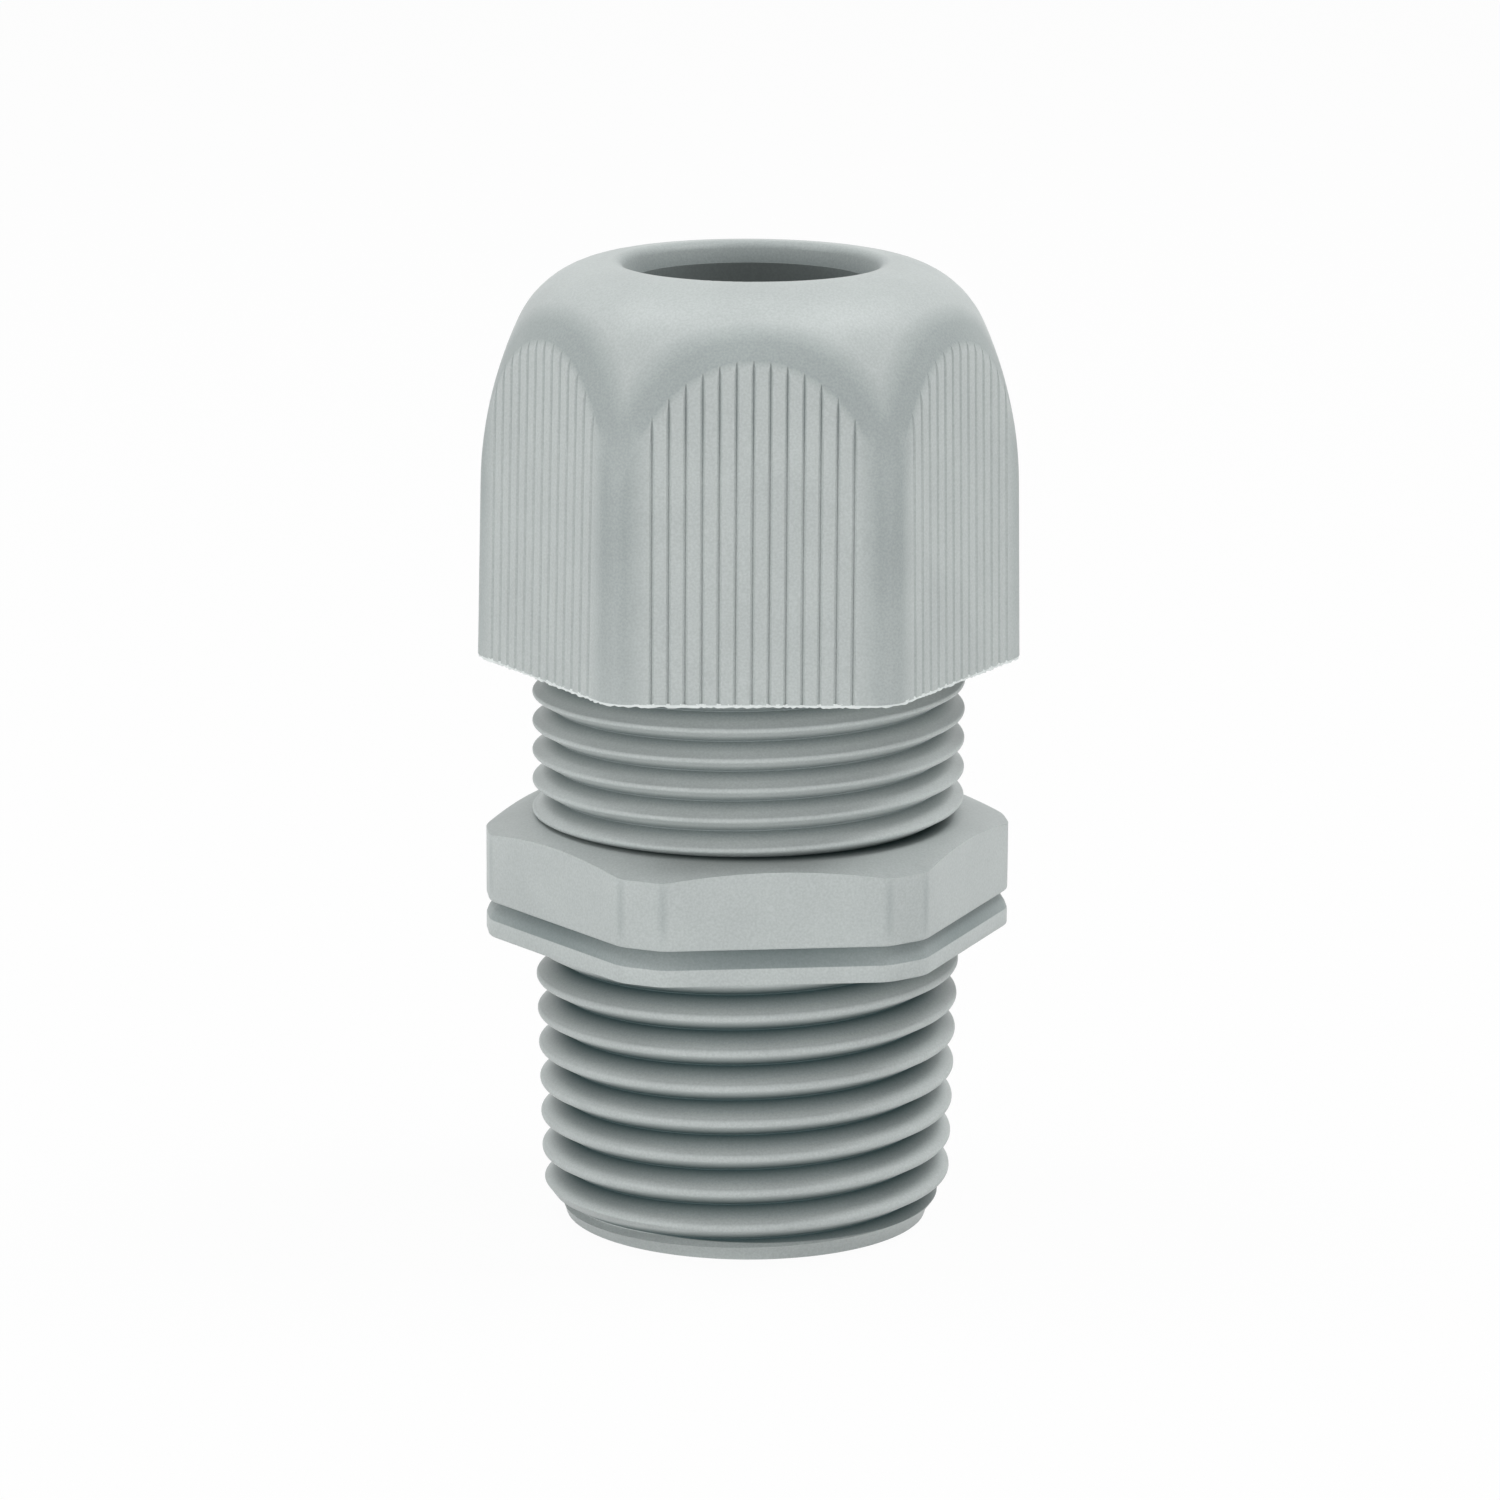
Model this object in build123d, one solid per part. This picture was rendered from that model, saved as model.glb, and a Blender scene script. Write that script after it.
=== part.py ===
from build123d import *
import os
from math import acos, atan, cos, degrees, pi, radians, sin, sqrt, tan

# Strain relief cord connector: tapered pipe thread below, dome nut on top.
# Millimetres, +Z up along the axis, origin at the centre of the threaded end face.

# Upper thread, 22 mm x 1.5, right-hand, which sets the width of all the rest
NUT_PITCH = 1.50
NUT_THREAD_RADIUS = 10.886
NUT_THREAD_CREST_WIDTH = 0.19
NUT_THREAD_ROOT_WIDTH = 0.2477
NUT_THREAD_DROP = 0.506
NUT_THREAD_CLEARANCE = 0.12
STEM_LENGTH = 12.70
BODY_RIM_CHAMFER = 0.90

# Cord passage and the counterbore that seats the clamping cage
BODY_WALL = 1.266
CAGE_BORE_DEPTH = 8.90
CAGE_BORE_MOUTH = 0.25
CAGE_SEAT_WIDTH = 1.30
PASSAGE_MOUTH = 0.50

# Tapered pipe thread on the entry end, 1/2-14, right-hand
ENTRY_PITCH = 1.8143
ENTRY_TAPER = 1 / 32
ENTRY_GAUGE_Z = 8.0
ENTRY_WALL = 1.912
ENTRY_CREST_WIDTH = 0.30
ENTRY_ROOT_WIDTH = 0.0825
ENTRY_START_Z = -1.2235
ENTRY_RUNOUT_HEIGHT = 0.25
ENTRY_RUNOUT_STAND = 0.03
END_FACE_STAND = 0.118
END_LAND_HEIGHT = 0.40
END_LAND_FLARE = 0.12
END_CHAMFER_SLOPE = 0.75

# Hexagon of the body with the thin lip below it
LIP_Z = 14.89
LIP_THICKNESS = 0.82
LIP_EDGE_RADIUS = 0.25
GROOVE_WIDTH = 0.98
GROOVE_DEPTH = 0.55
HEX_STAND = 1.114
HEX_CORNER_STAND = 1.20
HEX_HEIGHT = 4.11
HEX_TURN = 6.86
HEX_EDGE_RADIUS = 0.35
HEX_CHAMFER_ANGLE = 20.0
HEX_CHAMFER_INSET = 0.60

# Undercut neck between the hexagon and the upper thread's cut end
NECK_UNDERCUT = 0.166
NECK_HEIGHT = 0.15

# Clamping cage
CAGE_FIT = 0.08
CAGE_WALL = 1.42
CAGE_FOOT_HEIGHT = 3.60
CAGE_HEAD_LENGTH = 5.80
CAGE_TIP_WALL = 1.00
CAGE_TIP_EDGE = 0.30
CAGE_HEAD_STAND = 0.88
CAGE_HEAD_GAP = 0.30
CAGE_HEAD_HEIGHT = 2.20
FINGER_COUNT = 10
FINGER_SLOT_WIDTH = 0.80

# Sealing insert
COLLAR_GAP = 0.10
COLLAR_SIDE_GAP = 0.30
INSERT_GAP = 0.30
INSERT_WALL = 1.95
INSERT_LENGTH = 13.10
INSERT_MOUTH_FLARE = 0.75
INSERT_MOUTH_DEPTH = 1.40
INSERT_TIP_EDGE = 0.50

# Dome nut, inside
NUT_OVERLAP = 4.53
NUT_MOUTH_CHAMFER = 0.45
NUT_THREAD_LEAD = 0.80
NUT_THREAD_RELIEF = 1.90
CONE_GAP = 1.10
CONE_HEIGHT = 4.90
CONE_INSET = 0.406
THROAT_CLEARANCE = 0.25
POCKET_UNDERCUT = 0.75
POCKET_HEIGHT = 1.30
EXIT_STAND = 0.25
EXIT_LAND = 1.02
EXIT_CHAMFER = 0.25

# Dome nut, outside
NUT_FLAT_WALL = 1.048
NUT_DRAFT = 1.05
NUT_CORNER_STAND = 1.40
NUT_SKIRT_TAPER = 1.017
SHOULDER_RADIUS = 20.42
CROWN_RADIUS = 5.135
RIM_RADIUS = 0.65
RIM_SLOPE = 60.0
RIM_LAND = 0.399
NUT_EDGE_RADIUS = 1.80
NUT_TURN = 0.80

# Grip grooves on the nut's flats
GROOVES_A_FLAT = 13
GROOVE_SPACING = 0.813
GRIP_WIDTH = 0.26
GRIP_DEPTH = 0.14

# Working values
HALF_FLANK = radians(30)
FLANK_SINK = 0.05
ROOT_SINK = 0.15
SEAM_TURN = 37.0
OVERRUN = 1.0

# Widths, from the upper thread inwards and outwards
NUT_THREAD_DEPTH = (
    (NUT_PITCH - NUT_THREAD_CREST_WIDTH - NUT_THREAD_ROOT_WIDTH) / 2 / tan(HALF_FLANK)
)
NUT_THREAD_ROOT = NUT_THREAD_RADIUS - NUT_THREAD_DEPTH
CAGE_BORE_RADIUS = NUT_THREAD_ROOT - BODY_WALL
PASSAGE_RADIUS = CAGE_BORE_RADIUS - CAGE_SEAT_WIDTH
ENTRY_DEPTH = (ENTRY_PITCH - ENTRY_CREST_WIDTH - ENTRY_ROOT_WIDTH) / 2 / tan(HALF_FLANK)
ENTRY_ROOT_GAUGE = PASSAGE_RADIUS + ENTRY_WALL
ENTRY_GAUGE_RADIUS = ENTRY_ROOT_GAUGE + ENTRY_DEPTH
ENTRY_END_ROOT = ENTRY_ROOT_GAUGE - ENTRY_GAUGE_Z * ENTRY_TAPER
END_FACE_RADIUS = ENTRY_END_ROOT + END_FACE_STAND
END_LAND_RADIUS = END_FACE_RADIUS + END_LAND_FLARE
NECK_RADIUS = NUT_THREAD_ROOT - NECK_UNDERCUT
HEX_APOTHEM = NUT_THREAD_RADIUS + HEX_STAND
HEX_CORNER_CUT = HEX_APOTHEM + HEX_CORNER_STAND
HEX_TOP_RADIUS = HEX_APOTHEM - HEX_CHAMFER_INSET
GROOVE_APOTHEM = HEX_APOTHEM - GROOVE_DEPTH
GROOVE_CORNER_CUT = HEX_CORNER_CUT - GROOVE_DEPTH
CAGE_RADIUS = CAGE_BORE_RADIUS - CAGE_FIT
CAGE_INNER_RADIUS = CAGE_RADIUS - CAGE_WALL
CAGE_TIP_RADIUS = CAGE_INNER_RADIUS + CAGE_TIP_WALL
CAGE_HEAD_RADIUS = CAGE_RADIUS + CAGE_HEAD_STAND
INSERT_RADIUS = CAGE_INNER_RADIUS - INSERT_GAP
INSERT_BORE_RADIUS = INSERT_RADIUS - INSERT_WALL
INSERT_MOUTH_RADIUS = INSERT_BORE_RADIUS + INSERT_MOUTH_FLARE
THROAT_RADIUS = INSERT_RADIUS + THROAT_CLEARANCE
POCKET_RADIUS = THROAT_RADIUS + POCKET_UNDERCUT
COLLAR_RADIUS = POCKET_RADIUS - COLLAR_SIDE_GAP
EXIT_RADIUS = INSERT_MOUTH_RADIUS + EXIT_STAND
NUT_WALL_RADIUS = NUT_THREAD_RADIUS + NUT_THREAD_CLEARANCE
NUT_MINOR_RADIUS = NUT_THREAD_ROOT + NUT_THREAD_CLEARANCE
CONE_RADIUS = NUT_WALL_RADIUS - CONE_INSET
NUT_APOTHEM = NUT_WALL_RADIUS + NUT_FLAT_WALL
SHOULDER_START_RADIUS = NUT_APOTHEM + NUT_CORNER_STAND
RIM_FOOT_RADIUS = EXIT_RADIUS + RIM_LAND
APEX_RADIUS = RIM_FOOT_RADIUS + RIM_RADIUS * sin(radians(RIM_SLOPE))

# Heights, from the end face up
HEX_Z = LIP_Z + LIP_THICKNESS + GROOVE_WIDTH
HEX_TOP_Z = HEX_Z + HEX_HEIGHT
NUT_THREAD_Z = HEX_TOP_Z + NECK_HEIGHT
NUT_THREAD_START_Z = HEX_TOP_Z - NUT_THREAD_DROP
BODY_HEIGHT = HEX_TOP_Z + STEM_LENGTH
CAGE_SEAT_Z = BODY_HEIGHT - CAGE_BORE_DEPTH
CAGE_HEAD_Z = BODY_HEIGHT + CAGE_HEAD_GAP
CAGE_TIP_Z = BODY_HEIGHT + CAGE_HEAD_LENGTH
NUT_Z = BODY_HEIGHT - NUT_OVERLAP
CONE_Z = CAGE_TIP_Z + CONE_GAP
NUT_THREAD_TOP_Z = CONE_Z - NUT_THREAD_RELIEF
SHELF_Z = CONE_Z + CONE_HEIGHT
CEILING_Z = SHELF_Z + POCKET_HEIGHT
EXIT_Z = CEILING_Z + EXIT_CHAMFER + EXIT_LAND
COLLAR_Z = SHELF_Z + COLLAR_GAP
COLLAR_TOP_Z = CEILING_Z - COLLAR_GAP

# The dome: where its two arcs meet, and how high the skirt stands under them
SKIRT_LEAN = radians(NUT_SKIRT_TAPER)
CROWN_LEAN = acos(
    (SHOULDER_RADIUS * cos(SKIRT_LEAN) - SHOULDER_START_RADIUS + APEX_RADIUS)
    / (SHOULDER_RADIUS - CROWN_RADIUS)
)
RIM_FOOT_Z = EXIT_Z + RIM_LAND * tan(radians(RIM_SLOPE))
APEX_Z = RIM_FOOT_Z + RIM_RADIUS * (1 - cos(radians(RIM_SLOPE)))
CROWN_START_Z = APEX_Z - CROWN_RADIUS * (1 - sin(CROWN_LEAN))
NUT_SHOULDER_Z = CROWN_START_Z - SHOULDER_RADIUS * (sin(CROWN_LEAN) - sin(SKIRT_LEAN))
NUT_BASE_RADIUS = SHOULDER_START_RADIUS + (NUT_SHOULDER_Z - NUT_Z) * tan(SKIRT_LEAN)


def turned(points):
    """A solid of revolution about Z from (radius, height) corners."""
    section = make_face(Plane.XZ * Polyline(*points, close=True))
    return Rot(0, 0, SEAM_TURN) * revolve(section, Axis.Z)


def ring_between(inner, outer, low, high):
    """A plain ring, or a disc where the inner radius is zero."""
    return turned([(inner, low), (outer, low), (outer, high), (inner, high)])


def cut_hexagon(apothem, corner_cut, turn):
    """A hexagon across flats of twice the apothem, with its corners cut square."""
    half_facet = (apothem - corner_cut * cos(pi / 6)) / sin(pi / 6)
    reach = sqrt(corner_cut**2 + half_facet**2)
    spread = degrees(atan(half_facet / corner_cut))
    corners = []
    for step in range(6):
        middle = turn + 60 * step
        for side in (-spread, spread):
            angle = radians(middle + side)
            corners.append((reach * cos(angle), reach * sin(angle)))
    return make_face(Polyline(*corners, close=True))


def helical_ridge(pitch, start, turns, outline, taper):
    """A ridge that climbs a right-hand helix, made turn by turn and sewn.

    The outline is its section as (radius, height) corners at the start, where the
    ridge crosses the +X side. A taper widens the helix by that much a millimetre.
    """
    cone = atan(taper)
    coils = []
    for turn in range(turns):
        climb = pitch * turn
        coil = []
        for radius, height in outline:
            rail = Edge.make_helix(
                pitch / cos(cone), pitch, radius + taper * climb, angle=degrees(cone)
            )
            coil.append(rail.moved(Location((0, 0, start + height + climb))))
        coils.append(coil)
    faces = []
    for coil in coils:
        for low, high in zip(coil, coil[1:] + coil[:1]):
            faces.append(Face.make_surface_from_curves(low, high))
    for coil, end in ((coils[0], 0), (coils[-1], 1)):
        corners = [rail.position_at(end) for rail in coil]
        faces.append(Face(Wire.make_polygon(corners, close=True)))
    return Solid(Shell(faces))


def outer_ridge(pitch, start, turns, crest_radius, depth, crest_width, taper):
    """A male thread with a straight foot that sinks a little way into its core."""
    root_radius = crest_radius - depth - FLANK_SINK
    foot_radius = root_radius - ROOT_SINK
    half_crest = crest_width / 2
    half_root = half_crest + (depth + FLANK_SINK) * tan(HALF_FLANK)
    outline = [
        (foot_radius - taper * half_root, -half_root),
        (root_radius - taper * half_root, -half_root),
        (crest_radius - taper * half_crest, -half_crest),
        (crest_radius + taper * half_crest, half_crest),
        (root_radius + taper * half_root, half_root),
        (foot_radius + taper * half_root, half_root),
    ]
    return helical_ridge(pitch, start, turns, outline, taper)


def entry_thread():
    """The tapered thread on its core, from the chamfered end to the run-out at the lip."""
    start_radius = ENTRY_GAUGE_RADIUS + (ENTRY_START_Z - ENTRY_GAUGE_Z) * ENTRY_TAPER
    turns = int((LIP_Z - ENTRY_START_Z) / ENTRY_PITCH) + 1
    ridge = outer_ridge(
        ENTRY_PITCH, ENTRY_START_Z, turns, start_radius,
        ENTRY_DEPTH, ENTRY_CREST_WIDTH, ENTRY_TAPER,
    )
    top = LIP_Z + LIP_THICKNESS / 2
    core_high = ENTRY_ROOT_GAUGE + (top - ENTRY_GAUGE_Z) * ENTRY_TAPER
    core = turned([(0, 0), (ENTRY_END_ROOT, 0), (core_high, top), (0, top)])
    reach = HEX_APOTHEM
    pilot = ring_between(0, reach, 0, END_LAND_HEIGHT)
    lip_crest = ENTRY_GAUGE_RADIUS + (LIP_Z - ENTRY_GAUGE_Z) * ENTRY_TAPER
    runout = ring_between(0, lip_crest + ENTRY_RUNOUT_STAND, LIP_Z - ENTRY_RUNOUT_HEIGHT, top)
    reach_z = END_LAND_HEIGHT + (reach - END_LAND_RADIUS) / END_CHAMFER_SLOPE
    envelope = turned([
        (0, 0), (END_FACE_RADIUS, 0), (END_LAND_RADIUS, END_LAND_HEIGHT),
        (reach, reach_z), (reach, top), (0, top),
    ])
    return (core + pilot + ridge + runout) & envelope


def hexagon():
    """The wrench hexagon, its groove and the lip that meets the enclosure wall."""
    section = cut_hexagon(HEX_APOTHEM, HEX_CORNER_CUT, HEX_TURN)
    lip = extrude(Pos(0, 0, LIP_Z) * section, LIP_THICKNESS)
    lip = fillet(lip.edges().filter_by(Axis.Z), HEX_EDGE_RADIUS)
    lip = fillet(lip.edges().group_by(Axis.Z)[-1], LIP_EDGE_RADIUS)
    block = extrude(Pos(0, 0, HEX_Z) * section, HEX_HEIGHT)
    block = fillet(block.edges().filter_by(Axis.Z), HEX_EDGE_RADIUS)
    fall = (HEX_CORNER_CUT + OVERRUN - HEX_TOP_RADIUS) * tan(radians(HEX_CHAMFER_ANGLE))
    block &= turned([
        (0, HEX_Z), (HEX_CORNER_CUT + OVERRUN, HEX_Z),
        (HEX_CORNER_CUT + OVERRUN, HEX_TOP_Z - fall),
        (HEX_TOP_RADIUS, HEX_TOP_Z), (0, HEX_TOP_Z),
    ])
    web = cut_hexagon(GROOVE_APOTHEM, GROOVE_CORNER_CUT, HEX_TURN)
    web_z = LIP_Z + LIP_THICKNESS / 2
    web = extrude(Pos(0, 0, web_z) * web, HEX_Z + HEX_HEIGHT / 2 - web_z)
    return lip + web + block


def nut_end():
    """The neck and the upper thread, cut square below and chamfered at its rim."""
    low = HEX_TOP_Z - HEX_HEIGHT / 2
    neck = ring_between(0, NECK_RADIUS, low, NUT_THREAD_Z + NECK_HEIGHT)
    core = ring_between(0, NUT_THREAD_ROOT, NUT_THREAD_Z, BODY_HEIGHT)
    turns = int((BODY_HEIGHT - NUT_THREAD_START_Z) / NUT_PITCH) + 1
    ridge = outer_ridge(
        NUT_PITCH, NUT_THREAD_START_Z, turns, NUT_THREAD_RADIUS,
        NUT_THREAD_DEPTH, NUT_THREAD_CREST_WIDTH, 0,
    )
    reach = NUT_THREAD_RADIUS + OVERRUN
    rim = NUT_THREAD_RADIUS - BODY_RIM_CHAMFER
    ridge &= turned([
        (0, NUT_THREAD_Z), (reach, NUT_THREAD_Z),
        (reach, BODY_HEIGHT - BODY_RIM_CHAMFER - OVERRUN),
        (rim, BODY_HEIGHT), (0, BODY_HEIGHT),
    ])
    return neck + core + ridge


def gland_body():
    """The body: one moulding with a cord passage right through it."""
    body = entry_thread() + hexagon() + nut_end()
    bore = turned([
        (0, -OVERRUN), (PASSAGE_RADIUS + PASSAGE_MOUTH + OVERRUN, -OVERRUN),
        (PASSAGE_RADIUS, PASSAGE_MOUTH), (PASSAGE_RADIUS, CAGE_SEAT_Z),
        (CAGE_BORE_RADIUS, CAGE_SEAT_Z), (CAGE_BORE_RADIUS, BODY_HEIGHT - CAGE_BORE_MOUTH),
        (CAGE_BORE_RADIUS + CAGE_BORE_MOUTH + OVERRUN, BODY_HEIGHT + OVERRUN),
        (0, BODY_HEIGHT + OVERRUN),
    ])
    return body - bore


def clamping_cage():
    """The ring of fingers: a foot on the body's seat and heads above its rim."""
    tip_low = CAGE_TIP_Z - CAGE_TIP_EDGE
    cage = turned([
        (CAGE_INNER_RADIUS, CAGE_SEAT_Z), (CAGE_RADIUS, CAGE_SEAT_Z),
        (CAGE_RADIUS, CAGE_HEAD_Z), (CAGE_HEAD_RADIUS, CAGE_HEAD_Z),
        (CAGE_HEAD_RADIUS, CAGE_HEAD_Z + CAGE_HEAD_HEIGHT), (CAGE_TIP_RADIUS, tip_low),
        (CAGE_TIP_RADIUS - CAGE_TIP_EDGE, CAGE_TIP_Z), (CAGE_INNER_RADIUS, CAGE_TIP_Z),
    ])
    slot_low = CAGE_SEAT_Z + CAGE_FOOT_HEIGHT
    slot_high = CAGE_TIP_Z + OVERRUN
    length = CAGE_HEAD_RADIUS + OVERRUN
    slots = []
    for step in range(FINGER_COUNT):
        blade = Box(
            length, FINGER_SLOT_WIDTH, slot_high - slot_low,
            align=(Align.MIN, Align.CENTER, Align.MIN),
        )
        slots.append(Rot(0, 0, 360 / FINGER_COUNT * step) * Pos(0, 0, slot_low) * blade)
    return cage - slots


def sealing_insert():
    """The elastomer sleeve, its collar held with a little play in the nut's pocket."""
    low = COLLAR_TOP_Z - INSERT_LENGTH
    return turned([
        (INSERT_BORE_RADIUS, low), (INSERT_RADIUS - INSERT_TIP_EDGE, low),
        (INSERT_RADIUS, low + INSERT_TIP_EDGE), (INSERT_RADIUS, COLLAR_Z),
        (COLLAR_RADIUS, COLLAR_Z), (COLLAR_RADIUS, COLLAR_TOP_Z),
        (INSERT_MOUTH_RADIUS, COLLAR_TOP_Z),
        (INSERT_BORE_RADIUS, COLLAR_TOP_Z - INSERT_MOUTH_DEPTH),
    ])


def dome():
    """The outside of the nut as if it had been turned: skirt, dome and rolled rim."""
    skirt = Line((NUT_BASE_RADIUS, NUT_Z), (SHOULDER_START_RADIUS, NUT_SHOULDER_Z))
    shoulder = JernArc(
        skirt @ 1, skirt % 1, SHOULDER_RADIUS, degrees(CROWN_LEAN - SKIRT_LEAN)
    )
    crown = JernArc(shoulder @ 1, shoulder % 1, CROWN_RADIUS, 90 - degrees(CROWN_LEAN))
    rim = JernArc(crown @ 1, crown % 1, RIM_RADIUS, RIM_SLOPE)
    slope = Line(rim @ 1, (EXIT_RADIUS, EXIT_Z))
    rest = Polyline(slope @ 1, (0, EXIT_Z), (0, NUT_Z), skirt @ 0)
    section = make_face(Plane.XZ * (skirt + shoulder + crown + rim + slope + rest))
    return Rot(0, 0, SEAM_TURN) * revolve(section, Axis.Z)


def grip_grooves():
    """The V grooves: a set that leans with the draft of one flat, on all six flats."""
    lean = radians(NUT_DRAFT)
    half_mouth = GRIP_WIDTH / 2 * (GRIP_DEPTH + OVERRUN) / GRIP_DEPTH
    length = (EXIT_Z - NUT_Z) / cos(lean)
    flat = Plane(
        origin=(0, -NUT_APOTHEM, NUT_Z), x_dir=(1, 0, 0), z_dir=(0, sin(lean), cos(lean))
    )
    vee = make_face(Polyline(
        (0, GRIP_DEPTH), (-half_mouth, -OVERRUN), (half_mouth, -OVERRUN), close=True
    ))
    grooves = []
    first = -(GROOVES_A_FLAT - 1) / 2 * GROOVE_SPACING
    for step in range(GROOVES_A_FLAT):
        across = first + step * GROOVE_SPACING
        tool = extrude(flat * Pos(across, 0, -OVERRUN) * vee, length + OVERRUN, dir=flat.z_dir)
        for side in range(6):
            grooves.append(Rot(0, 0, NUT_TURN + 60 * side) * tool)
    return grooves


def nut_bore():
    """The inside of the nut, from the mouth up: thread wall, cone, pocket, exit."""
    mouth = NUT_WALL_RADIUS + NUT_MOUTH_CHAMFER
    return turned([
        (0, NUT_Z - OVERRUN), (mouth + OVERRUN, NUT_Z - OVERRUN),
        (NUT_WALL_RADIUS, NUT_Z + NUT_MOUTH_CHAMFER), (NUT_WALL_RADIUS, CONE_Z),
        (CONE_RADIUS, CONE_Z), (THROAT_RADIUS, SHELF_Z), (POCKET_RADIUS, SHELF_Z),
        (POCKET_RADIUS, CEILING_Z), (EXIT_RADIUS + EXIT_CHAMFER, CEILING_Z),
        (EXIT_RADIUS, CEILING_Z + EXIT_CHAMFER), (EXIT_RADIUS, EXIT_Z + OVERRUN),
        (0, EXIT_Z + OVERRUN),
    ])


def nut_thread():
    """The female thread: a ridge that runs in the middle of the male thread's groove."""
    slack = 2 * NUT_THREAD_CLEARANCE / cos(HALF_FLANK)
    half_tip = (NUT_THREAD_ROOT_WIDTH - slack) / 2
    half_tip += (NUT_MINOR_RADIUS - NUT_THREAD_ROOT) * tan(HALF_FLANK)
    wall = NUT_WALL_RADIUS + ROOT_SINK
    half_wall = half_tip + (wall - NUT_MINOR_RADIUS) * tan(HALF_FLANK)
    outline = [
        (wall, -half_wall), (NUT_MINOR_RADIUS, -half_tip),
        (NUT_MINOR_RADIUS, half_tip), (wall, half_wall),
    ]
    low = NUT_Z + NUT_THREAD_LEAD
    first = int((low - NUT_THREAD_START_Z) / NUT_PITCH) - 1
    start = NUT_THREAD_START_Z + (first + 0.5) * NUT_PITCH
    turns = int((NUT_THREAD_TOP_Z - start) / NUT_PITCH) + 2
    ridge = helical_ridge(NUT_PITCH, start, turns, outline, 0)
    run_in = NUT_WALL_RADIUS - NUT_MINOR_RADIUS
    return ridge & turned([
        (NUT_WALL_RADIUS, low - ROOT_SINK), (NUT_MINOR_RADIUS - ROOT_SINK, low + run_in),
        (NUT_MINOR_RADIUS - ROOT_SINK, NUT_THREAD_TOP_Z - run_in),
        (NUT_WALL_RADIUS, NUT_THREAD_TOP_Z), (wall, NUT_THREAD_TOP_Z),
        (wall, low - ROOT_SINK),
    ])


def dome_nut():
    """The nut: a drafted hexagon inside the turned dome, grooved, bored and threaded."""
    section = RegularPolygon(NUT_APOTHEM, 6, major_radius=False, rotation=NUT_TURN)
    height = APEX_Z + OVERRUN - NUT_Z
    nut = extrude(Pos(0, 0, NUT_Z) * section, height, taper=NUT_DRAFT) & dome()
    flats = nut.faces().filter_by(GeomType.PLANE).sort_by(Axis.Z)[1:7]
    borders = ShapeList()
    for face in flats:
        borders += face.edges().sort_by(Axis.Z)[1:]
    nut = fillet(borders, NUT_EDGE_RADIUS)
    return nut - grip_grooves() - nut_bore() + nut_thread()


os.makedirs("parts", exist_ok=True)

PIECES = {
    "gland_body": gland_body,
    "clamping_cage": clamping_cage,
    "sealing_insert": sealing_insert,
    "dome_nut": dome_nut,
}

for name, make in PIECES.items():
    export_step(make(), f"parts/{name}.step")
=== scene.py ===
"""Strain relief cord connector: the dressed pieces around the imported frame.

Metres, +Z up along the axis, origin at the centre of the threaded end face. Sizes in
the classes are in millimetres and are turned into metres where a mesh is drawn.
"""
import logging
import math
from dataclasses import dataclass
from enum import Enum
from typing import Protocol

import bpy
from mathutils import Matrix, Vector


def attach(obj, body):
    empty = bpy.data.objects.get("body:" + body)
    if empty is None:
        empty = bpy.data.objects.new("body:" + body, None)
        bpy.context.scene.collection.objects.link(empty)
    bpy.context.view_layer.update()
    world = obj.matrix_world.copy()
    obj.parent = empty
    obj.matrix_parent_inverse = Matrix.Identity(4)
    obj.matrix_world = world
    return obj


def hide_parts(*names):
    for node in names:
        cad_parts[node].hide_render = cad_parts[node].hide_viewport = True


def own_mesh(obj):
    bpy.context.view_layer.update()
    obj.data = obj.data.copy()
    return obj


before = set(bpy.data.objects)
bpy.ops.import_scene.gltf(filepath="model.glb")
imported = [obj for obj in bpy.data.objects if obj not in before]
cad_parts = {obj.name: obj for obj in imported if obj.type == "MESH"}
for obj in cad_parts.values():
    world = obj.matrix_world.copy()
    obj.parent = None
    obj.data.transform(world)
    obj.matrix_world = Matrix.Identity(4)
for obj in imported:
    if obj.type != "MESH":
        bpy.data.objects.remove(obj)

MM = 0.001
FULL_TURN = 2 * math.pi
SIXTH_TURN = FULL_TURN / 6
HALF_FLANK = math.radians(30)
MERGE_DISTANCE = 2e-7  # in metres
CORNER_REACH = 0.002  # how near a corner counts as found, in millimetres
LEVEL_REACH = 0.001  # and how near a height
OVERRUN = 1.0  # how far a cutting shape goes past what it cuts, in millimetres
TURNED_STEPS = 160

log = logging.getLogger("connector")

Point = tuple[float, float]
Place = tuple[float, float, float]
Colour = tuple[float, float, float]
Piece = bpy.types.Object
Socket = bpy.types.NodeSocket
Axes = tuple[Socket, Socket, Socket]


class Join(Enum):
    """How one solid is combined with another."""

    ADD = "UNION"
    CUT = "DIFFERENCE"
    KEEP_SHARED = "INTERSECT"


class Body(Enum):
    """The moving bodies of the frame."""

    BODY = "body"
    INSERT = "insert"
    NUT = "nut"


class Pick(Enum):
    """What edit mode selects."""

    VERTICES = (True, False, False)
    EDGES = (False, True, False)
    FACES = (False, False, True)


def activate(obj: Piece) -> None:
    """Selects one object alone and makes it the active one.

    Args:
        obj: the object.
    """
    bpy.ops.object.select_all(action="DESELECT")
    obj.select_set(True)
    bpy.context.view_layer.objects.active = obj


def edit(obj: Piece, pick: Pick = Pick.VERTICES) -> None:
    """Opens an object in edit mode.

    Args:
        obj: the object.
        pick: what is selected there.
    """
    activate(obj)
    bpy.context.tool_settings.mesh_select_mode = pick.value
    bpy.ops.object.mode_set(mode="EDIT")


def close_edit() -> None:
    """Goes back to object mode."""
    bpy.ops.object.mode_set(mode="OBJECT")


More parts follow.
